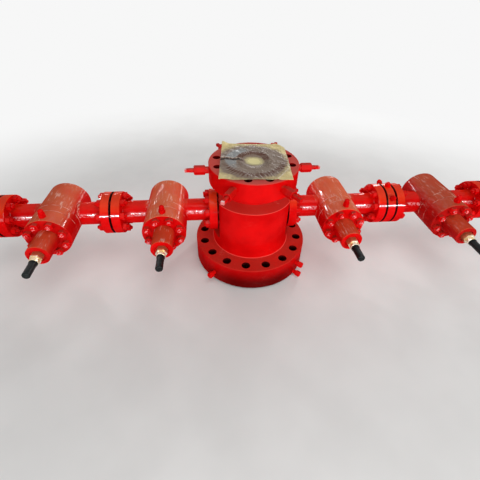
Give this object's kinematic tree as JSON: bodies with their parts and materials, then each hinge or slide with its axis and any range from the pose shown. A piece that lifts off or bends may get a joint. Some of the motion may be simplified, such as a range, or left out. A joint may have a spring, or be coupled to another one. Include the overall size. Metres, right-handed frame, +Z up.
{
  "type": "oil wellhead valve stack",
  "caption": "Red tubing head with lock screws round its upper flange and two side arms of flanged gate valves, on its lower bolting flange.",
  "frame": {"origin": "centre of the lower flange's sealing face, at the mouth of the downward pocket", "axes": "+Z up along the head's bore, X along the two valve arms with the longer arm towards +X, bonnets and stem caps towards -Y"},
  "size_m": [2.9126, 0.789, 0.64],
  "materials": {
    "red_paint": "glossy red enamel over machined steel forgings, duller and dusty on faces that look up",
    "brass": "turned brass with a pale collar",
    "rubber": "smooth black rubber, slightly glossy at the tip",
    "waxed_paper": "thin yellow-green oiled paper, grey where grease has soaked in"
  },
  "bodies": {
    "root": {"head_body": "red_paint", "lock_screw_gland_1": "red_paint", "lock_screw_gland_2": "red_paint", "lock_screw_gland_3": "red_paint", "lock_screw_gland_4": "red_paint", "lock_screw_gland_5": "red_paint", "lock_screw_gland_6": "red_paint", "lock_screw_1": "red_paint", "lock_screw_2": "red_paint", "lock_screw_3": "red_paint", "lock_screw_4": "red_paint", "lock_screw_5": "red_paint", "lock_screw_6": "red_paint", "left_inner_valve_body": "red_paint", "left_outer_valve_body": "red_paint", "right_inner_valve_body": "red_paint", "right_outer_valve_body": "red_paint", "left_inner_bonnet": "red_paint", "left_outer_bonnet": "red_paint", "right_inner_bonnet": "red_paint", "right_outer_bonnet": "red_paint", "left_inner_packing_nut": "brass", "left_outer_packing_nut": "brass", "right_inner_packing_nut": "brass", "right_outer_packing_nut": "brass", "left_inner_stem_cap": "rubber", "left_outer_stem_cap": "rubber", "right_inner_stem_cap": "rubber", "right_outer_stem_cap": "rubber", "left_inner_grease_fitting": "red_paint", "left_outer_grease_fitting": "red_paint", "right_inner_grease_fitting": "red_paint", "right_outer_grease_fitting": "red_paint", "spacer_flange": "red_paint", "spacer_plugs": "red_paint", "left_end_flange": "red_paint", "right_end_flange": "red_paint", "left_foot_fitting": "red_paint", "right_foot_fitting": "red_paint", "right_low_fitting": "red_paint", "paper_cover": "waxed_paper"}
  },
  "joints": []
}
